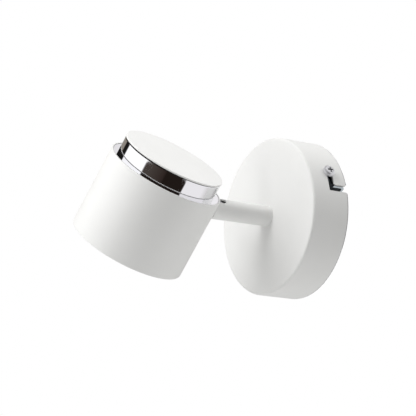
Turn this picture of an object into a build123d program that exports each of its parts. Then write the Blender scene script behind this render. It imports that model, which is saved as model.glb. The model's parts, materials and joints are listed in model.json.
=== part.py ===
"""Wall spotlight: a round canopy, a straight arm that swivels in it, and a head that tilts on the arm.

Millimetres and degrees. The wall is the plane y = 0, the front is -Y, +X is right seen from the front
and +Z is up. The origin is the centre of the wall bracket's back face.
"""
from build123d import *
import os
from math import cos, radians, sin

# ---------------------------------------------------------------- driving dimensions

# Directions round the canopy's axis, from +X towards +Z, and the head's tilt as it stands
strap_angle = 25.5
tilt_angle = 51.7
rest_tilt = 8.9

# Clearances
running_clearance = 0.05
thread_clearance = 0.05
screw_hole_clearance = 0.25
face_clearance = 0.1
hidden_gap = 0.3

# Canopy
canopy_diameter = 100.0
canopy_depth = 27.0
canopy_wall = 1.2
canopy_edge_radius = 1.5
canopy_rear_radius = 0.5
wall_gap = 0.5
bayonet_width = 4.4
bayonet_turn = 12.65
bayonet_corner = 1.0
bayonet_outer_corner = 0.8
bayonet_flare = 1.8

# Side screws that hold the canopy on the bracket's ears
side_screw_diameter = 4.0
side_screw_length = 8.0
side_screw_head_diameter = 7.8
side_screw_head_height = 2.8
side_screw_height = 12.0

# Wall bracket
strap_width = 17.0
strap_thickness = 1.5
strap_bend_radius = 1.5
ear_gap = 1.3
ear_shoulder_height = 10.7
ear_shoulder_radius = 2.8
ear_tongue_width = 8.4
wall_hole_diameter = 4.5
wall_hole_circle = 60.0
tab_width = 24.0
tab_reach = 32.0
tab_corner_radius = 3.0

# Terminal block on the bracket's tab, and the earth screw on the strap
block_centre = 21.0
block_length = 15.0
block_pole_width = 6.4
block_pole_spacing = 11.0
block_pole_height = 7.0
block_tower_height = 11.5
block_tower_diameter = 5.6
block_tower_spacing = 8.4
insert_diameter = 4.4
insert_bore = 3.2
insert_lead_depth = 2.5
insert_lead_run = 4.0
clamp_screw_diameter = 2.8
clamp_screw_length = 4.2
block_screw_diameter = 2.5
block_screw_head_diameter = 4.0
block_screw_head_height = 1.6
block_web_height = 3.0
earth_screw_offset = 14.5
earth_screw_diameter = 4.0
earth_screw_head_diameter = 7.6
earth_screw_head_height = 2.4
earth_washer_diameter = 9.0
earth_washer_thickness = 0.8

# Arm tube
arm_diameter = 13.0
arm_length = 42.3
arm_bore = 8.6
arm_thread_depth = 10.0
arm_edge_radius = 0.3
pivot_bore = 11.0
pivot_bore_depth = 13.0
pivot_to_arm_end = 6.4
arm_slot_width = 5.6

# Swivel: hollow nipple through the canopy, with its washers and nut
nipple_diameter = 10.0
nipple_bore = 7.5
nipple_grip = 9.5
nipple_tail = 8.5
stop_washer_diameter = 16.0
stop_washer_thickness = 1.0
stop_finger_width = 2.0
stop_finger_reach = 13.4
stop_pin_diameter = 1.8
stop_pin_radius = 12.0
stop_pin_height = 2.4
spring_washer_diameter = 15.0
spring_washer_thickness = 0.6
swivel_nut_width = 14.0
swivel_nut_thickness = 3.0
bush_diameter = 12.4
bush_length = 3.0
bush_lip = 0.8

# Knuckle and the cheeks that carry it
eye_diameter = 9.2
eye_thickness = 4.0
trunnion_diameter = 5.0
trunnion_length = 2.2
neck_diameter = 4.6
collar_diameter = 10.0
collar_thickness = 1.85
stud_diameter = 6.0
stud_length = 8.8
stud_bore = 3.0
stud_mouth_diameter = 5.0
friction_washer_diameter = 7.8
friction_washer_thickness = 0.7
stop_web_gap = 0.1

# Fixings of the knuckle inside the head
saddle_diameter = 12.0
saddle_thickness = 2.0
lock_washer_diameter = 10.0
lock_washer_thickness = 0.8
knuckle_nut_width = 10.0
knuckle_nut_thickness = 3.0

# Head shell
head_diameter = 73.6
head_length = 52.6
shell_wall = 1.0
shell_edge_radius = 0.35
pivot_to_shell = 11.3
stud_below_rim = 11.2

# Chrome ring in the shell's rear end, and the rear cap on the ring
flange_recess = 0.2
flange_thickness = 1.6
flange_gap = 0.2
flange_width = 6.6
band_inset = 4.6
band_height = 10.0
band_wall = 1.0
band_edge_radius = 0.9
cap_overhang = 0.3
cap_thickness = 1.0
cap_edge_radius = 0.35
cap_lower_edge_radius = 0.2
cap_spigot_depth = 1.5
cap_spigot_wall = 1.2
cap_gap = 0.2
cap_stud_diameter = 3.0
cap_stud_inset = 10.3
cap_nut_width = 5.5
cap_nut_thickness = 2.4
cap_stud_tail = 0.8

# Bridge across the shell
bridge_width = 16.0
bridge_thickness = 1.2
bridge_disc_diameter = 42.0
bridge_window_diameter = 27.0
stud_leg_reach = 7.0
far_leg_length = 13.0
lead_hole_diameter = 4.8
lead_hole_to_stud = 5.6

# Lampholder
holder_length = 40.0
holder_width = 19.0
holder_height = 10.8
holder_edge_radius = 0.6
holder_screw_spacing = 34.0
holder_screw_diameter = 3.0
holder_screw_length = 8.0
holder_screw_head_diameter = 5.5
holder_screw_head_height = 2.0
contact_depth = 8.0
contact_thickness = 0.5
contact_width = 3.5
lead_entry_depth = 3.5

# Lamp
lamp_diameter = 50.0
lamp_recess = 3.4
lamp_rim_height = 10.0
lamp_neck_diameter = 25.0
lamp_neck_height = 6.5
lamp_shoulder_diameter = 33.0
lamp_waist_diameter = 42.0
lamp_waist_height = 21.0
lamp_wall = 2.4
lamp_front_lip = 0.6
pin_spacing = 10.0
pin_head_diameter = 5.0
pin_head_height = 2.0
pin_stem_diameter = 3.0
pin_length = 7.0
lens_thickness = 1.6
lens_gap = 0.15
collimator_diameter = 12.0
collimator_tip_diameter = 5.0
collimator_height = 7.0
collimator_circle = 28.0
collimator_count = 6
board_thickness = 1.6
chip_size = 3.0
chip_height = 0.8

# Leads
lead_diameter = 1.4
lead_pitch = 1.5
lead_bend_radius = 5.0
lead_joint_gap = 0.8

# ---------------------------------------------------------------- derived places

canopy_radius = canopy_diameter / 2
head_radius = head_diameter / 2
shell_bore = head_diameter - 2 * shell_wall
ear_face = canopy_radius - canopy_wall - ear_gap
pivot_distance = arm_length - pivot_to_arm_end
pivot_to_axis = pivot_to_shell + head_radius

rim = stud_below_rim
light_end = rim - head_length
flange_top = rim - flange_recess
bridge_top = flange_top - flange_thickness
bridge_bottom = bridge_top - bridge_thickness
band_radius = head_radius - band_inset
band_top = rim + band_height
cap_top = band_top + cap_thickness
cap_stud_offset = shell_bore / 2 - cap_stud_inset
lead_hole_offset = cap_stud_offset - lead_hole_to_stud
lamp_front = light_end + lamp_recess
lens_back = lamp_front + lamp_front_lip + lens_thickness
chip_top = lens_back + collimator_height
board_front = chip_top + chip_height

stop_washer_back = -canopy_wall - stop_washer_thickness
spring_washer_back = stop_washer_back - spring_washer_thickness - face_clearance
swivel_nut_back = spring_washer_back - swivel_nut_thickness - face_clearance

# Local frames. Each has its z along the piece's main axis:
# bracket_frame: z away from the wall, x along the strap
# arm_frame: z along the arm from the canopy's face, x to the slot's side, y along the tilt hinge
# head_frame: z along the head from its light end to its cap, x from its axis to the knuckle
outward = Vector(0, -1, 0)
strap_direction = Vector(cos(radians(strap_angle)), 0, sin(radians(strap_angle)))
slot_direction = Vector(cos(radians(tilt_angle)), 0, sin(radians(tilt_angle)))
stud_direction = outward * cos(radians(rest_tilt)) + slot_direction * sin(radians(rest_tilt))
head_direction = slot_direction * cos(radians(rest_tilt)) - outward * sin(radians(rest_tilt))

bracket_frame = Plane(origin=(0, 0, 0), x_dir=strap_direction, z_dir=outward)
arm_frame = Plane(origin=outward * canopy_depth, x_dir=slot_direction, z_dir=outward)
pivot_point = outward * (canopy_depth + pivot_distance)
head_frame = Plane(
    origin=pivot_point + stud_direction * pivot_to_axis,
    x_dir=stud_direction * -1,
    z_dir=head_direction,
)

# Turn a piece made along z so that it lies along x or y
TO_X = Rot(0, 90, 0)
TO_Y = Rot(-90, 0, 0)


# ---------------------------------------------------------------- shared shapes

def rod(diameter, low, high):
    """Round bar along z."""
    height = high - low
    return Pos(0, 0, low + height / 2) * Cylinder(diameter / 2, height)


def pipe(diameter, bore, low, high):
    """Ring or tube along z."""
    return rod(diameter, low, high) - rod(bore, low - 1, high + 1)


def block(x_span, y_span, z_span):
    """Box between two values on each axis."""
    sizes = [span[1] - span[0] for span in (x_span, y_span, z_span)]
    middle = [(span[1] + span[0]) / 2 for span in (x_span, y_span, z_span)]
    return Pos(*middle) * Box(*sizes)


def turned(points):
    """Solid of revolution about z from (radius, height) corners."""
    profile = make_face(Polyline([(r, 0, z) for r, z in points], close=True))
    return revolve(profile, Axis.Z)


def hex_nut(width, thickness, bore):
    """Hexagon nut standing on z = 0."""
    return extrude(RegularPolygon(width / 2, 6, major_radius=False) - Circle(bore / 2), thickness)


def pan_screw(diameter, length, head_diameter, head_height):
    """Pan-head screw: the head stands on z = 0 and the shank runs down from it."""
    head = rod(head_diameter, 0, head_height)
    head = fillet(head.edges().group_by(Axis.Z)[-1], head_height * 0.6)
    return head + rod(diameter, -length, 0)


def lead(points, bend_radius):
    """Insulated lead along straight runs joined by arcs."""
    path = FilletPolyline(*points, radius=bend_radius)
    section = Plane(origin=path @ 0, z_dir=path % 0) * Circle(lead_diameter / 2)
    return sweep(section, path=path)


# ---------------------------------------------------------------- canopy, in bracket_frame

def bayonet_slot():
    """L-shaped slot from the side screw round the wall, then back to the canopy's rear edge."""
    turn = canopy_radius * radians(bayonet_turn)
    half_turn = turn / 2
    mouth_width = bayonet_width + 6 * bayonet_flare
    inner_x = -half_turn + bayonet_width / 2
    outer_x = -half_turn - bayonet_width / 2
    low_edge = side_screw_height - bayonet_width / 2
    high_edge = side_screw_height + bayonet_width / 2
    back_leg = Pos(-half_turn, high_edge / 2) * Rectangle(bayonet_width, high_edge)
    round_leg = Pos(0, side_screw_height) * Rectangle(turn, bayonet_width)
    round_leg += Pos(half_turn, side_screw_height) * Circle(bayonet_width / 2)
    mouth = Pos(-half_turn, wall_gap - bayonet_flare) * Rectangle(mouth_width, 2 * bayonet_flare)
    outline = round_leg + back_leg + mouth
    outline = fillet(nearest_corners(outline, [(inner_x, low_edge)]), bayonet_corner)
    outline = fillet(nearest_corners(outline, [(outer_x, high_edge)]), bayonet_outer_corner)
    mouth_corners = [(inner_x, wall_gap), (outer_x, wall_gap)]
    outline = fillet(nearest_corners(outline, mouth_corners), bayonet_flare)
    # The sketch stands on the wall of the cup at the middle of the turn
    middle = radians(-bayonet_turn / 2)
    radial = Vector(cos(middle), sin(middle), 0)
    tangent = Vector(-sin(middle), cos(middle), 0)
    place = Plane(origin=radial * (canopy_radius - 4 * canopy_wall), x_dir=tangent, z_dir=radial)
    return extrude(place * outline, 8 * canopy_wall)


def nearest_corners(outline, places):
    """The outline's corner nearest to each given place."""
    return [outline.vertices().sort_by_distance(Vector(*place, 0))[0] for place in places]


def make_canopy():
    """Drawn cup, open to the wall, with two bayonet slots and the swivel's hole."""
    outside = rod(canopy_diameter, wall_gap, canopy_depth)
    outside = fillet(outside.edges().group_by(Axis.Z)[-1], canopy_edge_radius)
    outside = fillet(outside.edges().group_by(Axis.Z)[0], canopy_rear_radius)
    inside = rod(canopy_diameter - 2 * canopy_wall, -1, canopy_depth - canopy_wall)
    inside = fillet(inside.edges().group_by(Axis.Z)[-1], canopy_edge_radius)
    cup = outside - inside
    cup -= rod(nipple_diameter + 2 * running_clearance, 0, canopy_depth + 1)
    slot = bayonet_slot()
    for turn in (0, 180):
        cup -= Rot(0, 0, turn) * slot
    return cup


def make_canopy_screws():
    """One side screw at each end of the strap, pointing at the canopy's axis."""
    screw = pan_screw(
        side_screw_diameter, side_screw_length, side_screw_head_diameter, side_screw_head_height
    )
    screw = Pos(canopy_radius, 0, side_screw_height) * TO_X * screw
    return Compound([Rot(0, 0, turn) * screw for turn in (0, 180)])


# ---------------------------------------------------------------- wall bracket, in bracket_frame

def make_wall_bracket():
    """Strap with two bent ears and a flat tab, cut and bent from one sheet."""
    ear_top = side_screw_height + ear_tongue_width / 2
    outer = Pos(0, ear_top / 2) * Rectangle(2 * ear_face, ear_top)
    outer_corners = [(-ear_face, 0), (ear_face, 0)]
    outer = fillet(nearest_corners(outer, outer_corners), strap_bend_radius + strap_thickness)
    inner_x = ear_face - strap_thickness
    inner = Pos(0, strap_thickness + ear_top / 2) * Rectangle(2 * inner_x, ear_top)
    inner_corners = [(-inner_x, strap_thickness), (inner_x, strap_thickness)]
    inner = fillet(nearest_corners(inner, inner_corners), strap_bend_radius)
    bent_sheet = extrude(Plane.XZ * (outer - inner), strap_width, both=True)

    # Seen from the side each ear has two round shoulders and a narrow tongue round its screw
    half = strap_width / 2
    side_view = Pos(0, ear_shoulder_height / 2) * Rectangle(strap_width, ear_shoulder_height)
    shoulders = [(-half, ear_shoulder_height), (half, ear_shoulder_height)]
    side_view = fillet(nearest_corners(side_view, shoulders), ear_shoulder_radius)
    side_view += Pos(0, side_screw_height / 2) * Rectangle(ear_tongue_width, side_screw_height)
    side_view += Pos(0, side_screw_height) * Circle(ear_tongue_width / 2)
    bracket = bent_sheet & extrude(Plane.YZ * side_view, canopy_radius, both=True)

    tab_sketch = Pos(0, tab_reach / 2) * RectangleRounded(tab_width, tab_reach, tab_corner_radius)
    bracket += extrude(tab_sketch, strap_thickness)

    hole_top = 2 * strap_thickness
    for side in (-1, 1):
        bracket -= Pos(side * wall_hole_circle / 2, 0, 0) * rod(wall_hole_diameter, -1, hole_top)
    earth_hole = earth_screw_diameter + 2 * thread_clearance
    bracket -= Pos(earth_screw_offset, 0, 0) * rod(earth_hole, -1, hole_top)
    block_hole = block_screw_diameter + 2 * thread_clearance
    bracket -= Pos(0, block_centre, 0) * rod(block_hole, -1, hole_top)
    ear_hole = side_screw_diameter + 2 * thread_clearance
    bracket -= Pos(0, 0, side_screw_height) * TO_X * rod(ear_hole, -canopy_radius, canopy_radius)
    return bracket


def insert_height():
    """Height of the clamping tubes' axis above the wall."""
    return strap_thickness + block_pole_height / 2


def pole_places():
    """The terminal block's poles, as offsets along the strap."""
    return [side * block_pole_spacing / 2 for side in (-1, 1)]


def tower_places():
    """Centre of each clamping screw, seen from the front."""
    offsets = [side * block_tower_spacing / 2 for side in (-1, 1)]
    return [(x, block_centre + offset) for x in pole_places() for offset in offsets]


def make_terminal_block():
    """Two-pole block: a barrel and two screw towers for each pole, joined by a low web."""
    low = strap_thickness
    y_span = (block_centre - block_length / 2, block_centre + block_length / 2)
    web_half = block_screw_head_diameter / 2
    body = block((-block_pole_spacing / 2, block_pole_spacing / 2),
                 (block_centre - web_half, block_centre + web_half), (low, low + block_web_height))
    for x in pole_places():
        barrel = block((x - block_pole_width / 2, x + block_pole_width / 2), y_span,
                       (low, low + block_pole_height))
        body += fillet(barrel.edges().filter_by(Axis.Y).group_by(Axis.Z)[-1], block_pole_width / 4)
    for x, y in tower_places():
        body += Pos(x, y, 0) * rod(block_tower_diameter, low, low + block_tower_height)
    for x in pole_places():
        bore = rod(insert_diameter + 2 * thread_clearance, *y_span)
        body -= Pos(x, 0, insert_height()) * TO_Y * bore
    for x, y in tower_places():
        body -= Pos(x, y, 0) * rod(clamp_screw_diameter + 2 * screw_hole_clearance,
                                   insert_height(), low + block_tower_height + 1)
    body -= Pos(0, block_centre, 0) * rod(block_screw_diameter + 2 * screw_hole_clearance,
                                          0, block_tower_height)
    return body


def make_terminal_inserts():
    """Brass tubes that the lead ends are clamped in."""
    inserts = []
    for x in pole_places():
        barrel = pipe(insert_diameter, insert_bore,
                      block_centre - block_length / 2 + face_clearance,
                      block_centre + block_length / 2 - face_clearance)
        barrel = Pos(x, 0, insert_height()) * TO_Y * barrel
        for place_x, y in tower_places():
            if place_x == x:
                barrel -= Pos(x, y, 0) * rod(clamp_screw_diameter + 2 * thread_clearance,
                                             insert_height(), block_tower_height)
        inserts.append(barrel)
    return Compound(inserts)


def make_terminal_screws():
    """Slotted grub screws down the towers into the brass tubes."""
    low = insert_height() + lead_diameter / 2
    slot = block((-clamp_screw_diameter, clamp_screw_diameter), (-0.3, 0.3),
                 (low + clamp_screw_length - 0.8, low + clamp_screw_length + 1))
    screw = rod(clamp_screw_diameter, low, low + clamp_screw_length) - slot
    return Compound([Pos(x, y, 0) * screw for x, y in tower_places()])


def make_block_screw():
    """Screw through the block's web into the tab."""
    seat = strap_thickness + block_web_height
    screw = pan_screw(block_screw_diameter, seat, block_screw_head_diameter, block_screw_head_height)
    return Pos(0, block_centre, seat) * screw


def make_earth_screw():
    """Earth terminal's screw, over its cup washer."""
    grip = strap_thickness + earth_washer_thickness
    screw = pan_screw(earth_screw_diameter, grip, earth_screw_head_diameter, earth_screw_head_height)
    return Pos(earth_screw_offset, 0, grip) * screw


def make_earth_washer():
    """Flat washer under the earth screw's head."""
    washer = pipe(earth_washer_diameter, earth_screw_diameter + 2 * screw_hole_clearance,
                  strap_thickness, strap_thickness + earth_washer_thickness)
    return Pos(earth_screw_offset, 0, 0) * washer


def make_stop_pin():
    """Nib on the inside of the canopy's face, opposite the arm's slot."""
    # It stands on the side away from the stop washer's finger as the arm stands at rest
    turn = tilt_angle - strap_angle + 180
    high = canopy_depth - canopy_wall
    return Rot(0, 0, turn) * Pos(stop_pin_radius, 0, 0) * rod(
        stop_pin_diameter, high - stop_pin_height, high
    )


def make_canopy_leads():
    """Leads from the terminal block to the arm's nipple."""
    block_side = block_centre - block_length / 2
    end_height = canopy_depth - nipple_tail - bush_lip - lead_joint_gap - hidden_gap
    leads = []
    for side, x in zip((-1, 1), pole_places()):
        inner_x = side * lead_pitch / 2
        points = [(x, block_side + insert_lead_depth, insert_height()),
                  (x, block_side - insert_lead_run, insert_height()),
                  (inner_x, 0, insert_height()), (inner_x, 0, end_height)]
        leads.append(lead(points, lead_bend_radius))
    return Compound(leads)


# ---------------------------------------------------------------- arm, in arm_frame

def make_arm_tube():
    """Tube tapped at the canopy and counterbored at the pivot, with a slot for the neck."""
    tube = rod(arm_diameter, 0, arm_length)
    tube = fillet(tube.edges().group_by(Axis.Z)[-1], arm_edge_radius)
    tube -= rod(arm_bore, -1, arm_length + 1)
    tube -= rod(nipple_diameter + 2 * thread_clearance, -1, arm_thread_depth)
    tube -= rod(pivot_bore, arm_length - pivot_bore_depth, arm_length + 1)
    # The slot's round end is where the neck comes to rest at a right angle to the arm
    slot_end = pivot_distance - neck_diameter / 2 - stop_web_gap
    round_centre = slot_end + arm_slot_width / 2
    half = arm_slot_width / 2
    tube -= block((0, arm_diameter), (-half, half), (round_centre, arm_length + 1))
    tube -= Pos(0, 0, round_centre) * TO_X * rod(arm_slot_width, 0, arm_diameter)
    return tube


def make_hollow_nipple():
    """Hollow threaded tube, half in the arm and half through the canopy's face."""
    return pipe(nipple_diameter, nipple_bore, -nipple_tail, nipple_grip)


def make_nipple_bush():
    """Bush over the nipple's tail, with a lip that keeps the leads off the thread's end."""
    low = -nipple_tail - bush_lip
    sleeve = pipe(bush_diameter, nipple_diameter + 2 * running_clearance,
                  -nipple_tail, low + bush_length)
    lip = pipe(bush_diameter, nipple_bore, low, -nipple_tail)
    return sleeve + lip


def make_stop_washer():
    """Washer that turns with the arm and carries the stop finger."""
    finger = block((0, stop_finger_reach), (-stop_finger_width / 2, stop_finger_width / 2),
                   (stop_washer_back, -canopy_wall))
    washer = rod(stop_washer_diameter, stop_washer_back, -canopy_wall) + finger
    return washer - rod(nipple_diameter + 2 * running_clearance, stop_washer_back - 1, 0)


def make_spring_washer():
    """Wave washer that presses the stop washer on the canopy."""
    bore = nipple_diameter + 2 * running_clearance
    high = stop_washer_back - face_clearance / 2
    return pipe(spring_washer_diameter, bore, high - spring_washer_thickness, high)


def make_swivel_nut():
    """Thin nut on the nipple inside the canopy."""
    nut = hex_nut(swivel_nut_width, swivel_nut_thickness, nipple_diameter + 2 * thread_clearance)
    return Pos(0, 0, swivel_nut_back) * nut


def cheek_blank():
    """Round bar that fits the tube's counterbore, with its bearing holes and the knuckle's gap."""
    low = arm_length - pivot_bore_depth + face_clearance
    high = arm_length - 2 * face_clearance
    bar = rod(pivot_bore - 2 * running_clearance - face_clearance, low, high)
    bearing_reach = eye_thickness / 2 + trunnion_length + face_clearance
    bearing = rod(trunnion_diameter + 2 * running_clearance, -bearing_reach, bearing_reach)
    return bar - Pos(0, 0, pivot_distance) * TO_Y * bearing


def make_pivot_half(side):
    """One cheek: the part of the bar beyond the knuckle's gap on that side."""
    near = arm_slot_width / 2
    y_span = (near, pivot_bore) if side > 0 else (-pivot_bore, -near)
    return cheek_blank() & block((-pivot_bore, pivot_bore), y_span, (0, arm_length))


def make_pivot_half_upper():
    """Cheek with the web that the neck rests on when it lies along the arm."""
    near = arm_slot_width / 2
    stop_face = -neck_diameter / 2 - stop_web_gap
    web = cheek_blank() & block((-pivot_bore, stop_face), (-near + face_clearance, near),
                                (pivot_distance, arm_length))
    eye_room = rod(eye_diameter + 2 * hidden_gap, -pivot_bore, pivot_bore)
    web -= Pos(0, 0, pivot_distance) * TO_Y * eye_room
    return make_pivot_half(1) + web


def make_friction_washers():
    """Washers on the trunnions, between the eye and the cheeks."""
    outer_face = arm_slot_width / 2 - running_clearance
    bore = trunnion_diameter + 2 * running_clearance
    washer = pipe(friction_washer_diameter, bore, outer_face - friction_washer_thickness,
                  outer_face)
    washers = [Rot(0, 0, turn) * TO_Y * washer for turn in (0, 180)]
    return Compound([Pos(0, 0, pivot_distance) * washer for washer in washers])


def make_arm_leads():
    """Leads along the tube's side, from the nipple's tail to just behind the knuckle."""
    offset = nipple_bore / 2 - hidden_gap - lead_diameter
    high = pivot_distance - eye_diameter / 2 - lead_joint_gap
    leads = []
    for side in (-1, 1):
        leads.append(Pos(-offset, side * lead_pitch / 2, 0) * rod(lead_diameter, -nipple_tail, high))
    return Compound(leads)


# ---------------------------------------------------------------- head, in head_frame

def make_knuckle():
    """Eye with trunnions, a neck that clears the arm's slot, a saddle-faced collar and a hollow stud."""
    eye = rod(eye_diameter, -eye_thickness / 2, eye_thickness / 2)
    reach = eye_thickness / 2 + trunnion_length
    eye += rod(trunnion_diameter, -reach, reach)
    knuckle = Pos(pivot_to_axis, 0, 0) * TO_Y * eye
    collar_face = head_radius + collar_thickness
    neck_end = pivot_to_axis - friction_washer_diameter / 2 - face_clearance
    knuckle += TO_X * rod(neck_diameter, head_radius, neck_end)
    collar = TO_X * rod(collar_diameter, head_radius - shell_wall, collar_face)
    knuckle += collar - rod(head_diameter, -collar_diameter, collar_diameter)
    stud_end = head_radius - stud_length
    knuckle += TO_X * rod(stud_diameter, stud_end, head_radius + collar_thickness / 2)
    eye_back = pivot_to_axis + eye_diameter / 2
    knuckle -= TO_X * rod(stud_bore, stud_end - 1, eye_back + 1)
    mouth_depth = stud_mouth_diameter - stud_bore
    mouth = Cone(stud_bore / 2, stud_mouth_diameter / 2, mouth_depth)
    knuckle -= Pos(eye_back - mouth_depth / 2, 0, 0) * TO_X * mouth
    return knuckle


def leg_face():
    """Distance from the head's axis to the inner face of the bridge's leg."""
    return shell_bore / 2 - face_clearance - bridge_thickness


def make_saddle_spacer():
    """Spacer with one side curved to the bridge's leg and one flat side for the washer."""
    blank = TO_X * pipe(saddle_diameter, stud_diameter + 2 * screw_hole_clearance,
                        leg_face() - saddle_thickness, shell_bore / 2)
    return blank & rod(2 * leg_face() - face_clearance, -saddle_diameter, saddle_diameter)


def washer_face():
    """Distance from the head's axis to the lock washer's inner face."""
    return leg_face() - saddle_thickness - lock_washer_thickness


def make_knuckle_lock_washer():
    """Spring lock washer with its split."""
    washer = pipe(lock_washer_diameter, stud_diameter + 2 * screw_hole_clearance,
                  washer_face(), washer_face() + lock_washer_thickness)
    washer -= block((0, lock_washer_diameter), (-hidden_gap, hidden_gap), (0, head_radius))
    return TO_X * washer


def make_knuckle_nut():
    """Thin nut on the hollow stud."""
    nut = hex_nut(knuckle_nut_width, knuckle_nut_thickness, stud_diameter + 2 * thread_clearance)
    return Pos(washer_face() - knuckle_nut_thickness, 0, 0) * TO_X * nut


def make_head_shell():
    """Open tube with a hole for the stud."""
    shell = pipe(head_diameter, shell_bore, light_end, rim)
    ends = shell.edges().filter_by(GeomType.CIRCLE)
    outer_ends = [edge for edge in ends if edge.radius > shell_bore / 2 + shell_wall / 2]
    shell = fillet(outer_ends, shell_edge_radius)
    hole = stud_diameter + 2 * screw_hole_clearance
    return shell - TO_X * rod(hole, shell_bore / 2 - shell_wall, head_radius + shell_wall)


def make_chrome_ring():
    """Flange inside the rim, and a band that stands up from it and carries the cap."""
    flange_outer = shell_bore / 2 - flange_gap
    flange_inner = flange_outer - flange_width
    band_inner = band_radius - band_wall
    ring = turned([
        (flange_inner, bridge_top),
        (flange_outer, bridge_top),
        (flange_outer, flange_top),
        (band_radius, flange_top),
        (band_radius, band_top),
        (band_inner, band_top),
        (band_inner, flange_top),
        (flange_inner, flange_top),
    ])
    top_edge = ring.edges().group_by(Axis.Z)[-1].sort_by(SortBy.RADIUS)[-1]
    return fillet(top_edge, band_edge_radius)


def make_rear_cap():
    """Disc on the band's top, with a spigot in the band and two studs that go down to the bridge."""
    disc = rod(2 * (band_radius + cap_overhang), band_top, cap_top)
    disc = fillet(disc.edges().group_by(Axis.Z)[-1], cap_edge_radius)
    disc = fillet(disc.edges().group_by(Axis.Z)[0], cap_lower_edge_radius)
    spigot_radius = band_radius - band_wall - cap_gap
    disc += pipe(2 * spigot_radius, 2 * (spigot_radius - cap_spigot_wall),
                 band_top - cap_spigot_depth, band_top)
    stud = rod(cap_stud_diameter, bridge_bottom - cap_nut_thickness - cap_stud_tail, band_top)
    for side in (-1, 1):
        disc += Pos(side * cap_stud_offset, 0, 0) * stud
    return disc


def make_cap_nuts():
    """Nuts under the bridge, on the cap's studs."""
    nut = hex_nut(cap_nut_width, cap_nut_thickness, cap_stud_diameter + 2 * thread_clearance)
    height = bridge_bottom - cap_nut_thickness
    return Compound([Pos(side * cap_stud_offset, 0, height) * nut for side in (-1, 1)])


def make_holder_bracket():
    """Bridge under the ring's flange, with a round middle and a leg down each side of the shell."""
    leg_outer = shell_bore - 2 * face_clearance
    half = bridge_width / 2
    strip = block((-head_radius, head_radius), (-half, half), (bridge_bottom, bridge_top))
    bridge = strip & rod(leg_outer, bridge_bottom, bridge_top)
    bridge += rod(bridge_disc_diameter, bridge_bottom, bridge_top)
    wall = pipe(leg_outer, 2 * leg_face(), -head_radius, bridge_top)
    bridge += wall & block((0, head_radius), (-half, half), (-stud_leg_reach, bridge_top))
    bridge += wall & block((-head_radius, 0), (-half, half),
                           (bridge_top - far_leg_length, bridge_top))
    low = bridge_bottom - 1
    high = bridge_top + 1
    bridge -= rod(bridge_window_diameter, low, high)
    bridge -= TO_X * rod(stud_diameter + 2 * screw_hole_clearance, 0, head_radius)
    bridge -= Pos(lead_hole_offset, 0, 0) * rod(lead_hole_diameter, low, high)
    for side in (-1, 1):
        bridge -= Pos(side * cap_stud_offset, 0, 0) * rod(
            cap_stud_diameter + 2 * thread_clearance, low, high)
        bridge -= Pos(0, side * holder_screw_spacing / 2, 0) * rod(
            holder_screw_diameter + 2 * screw_hole_clearance, low, high)
    return bridge


def lead_entry_height():
    """Height of the leads' entry in the lampholder's side."""
    return bridge_top + holder_height * 0.55


def make_lampholder():
    """Ceramic block with two round-ended contact slots, two screw holes and one entry for the leads."""
    outline = Rot(0, 0, 90) * SlotOverall(holder_length, holder_width)
    body = extrude(Pos(0, 0, bridge_top) * outline, holder_height)
    body = fillet(body.edges().group_by(Axis.Z)[-1], holder_edge_radius)
    slot_width = pin_head_diameter + 2 * hidden_gap
    for side in (-1, 1):
        arc = Pos(0, 0, bridge_top) * CenterArc((0, 0), pin_spacing / 2, 90 * side, 35)
        body -= extrude(SlotArc(arc, slot_width), contact_depth)
        body -= Pos(0, side * holder_screw_spacing / 2, 0) * rod(
            holder_screw_diameter + 2 * thread_clearance,
            bridge_top - 1, bridge_top + holder_screw_length)
    entry_plane = Plane.YZ.offset(holder_width / 2 - lead_entry_depth)
    entry = SlotCenterToCenter(lead_pitch, lead_diameter + 2 * thread_clearance)
    return body - extrude(entry_plane * Pos(0, lead_entry_height()) * entry, holder_width)


def make_holder_contacts():
    """Brass strips at the bottom of the contact slots."""
    high = bridge_top + contact_depth
    strip = block((-contact_width / 2, contact_width / 2), (-contact_width / 2, contact_width / 2),
                  (high - contact_thickness, high))
    return Compound([Pos(0, side * pin_spacing / 2, 0) * strip for side in (-1, 1)])


def make_holder_screws():
    """Screws from under the bridge into the lampholder."""
    screw = pan_screw(holder_screw_diameter, holder_screw_length - 2 * face_clearance,
                      holder_screw_head_diameter, holder_screw_head_height)
    screw = Pos(0, 0, bridge_bottom) * Rot(180, 0, 0) * screw
    return Compound([Pos(0, side * holder_screw_spacing / 2, 0) * screw for side in (-1, 1)])


def make_lamp_body():
    """Housing from the narrow neck at the holder to the wide rim at the light end."""
    neck = lamp_neck_diameter / 2
    rim_radius = lamp_diameter / 2
    shoulder = bridge_top - lamp_neck_height
    outline = [
        (0, bridge_top),
        (neck, bridge_top),
        (neck, shoulder),
        (lamp_shoulder_diameter / 2, shoulder - lamp_neck_height / 2),
        (lamp_waist_diameter / 2, lamp_front + lamp_waist_height),
        (rim_radius, lamp_front + lamp_rim_height),
        (rim_radius, lamp_front),
        (0, lamp_front),
    ]
    body = turned(outline)
    return body - rod(lamp_diameter - 2 * lamp_wall, lamp_front - 1, board_front + board_thickness)


def make_lamp_pins():
    """Two pins with wide heads in the holder's slots."""
    high = bridge_top + pin_length
    pin = rod(pin_stem_diameter, bridge_top, high)
    pin += rod(pin_head_diameter, high - pin_head_height, high)
    return Compound([Pos(0, side * pin_spacing / 2, 0) * pin for side in (-1, 1)])


def collimator_places():
    """Centres of the lens plate's collimators: one in the middle and the rest on a circle."""
    ring = [(0.0, 0.0)]
    for index in range(collimator_count):
        turn = radians(360 * index / collimator_count)
        ring.append((collimator_circle / 2 * cos(turn), collimator_circle / 2 * sin(turn)))
    return ring


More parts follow.
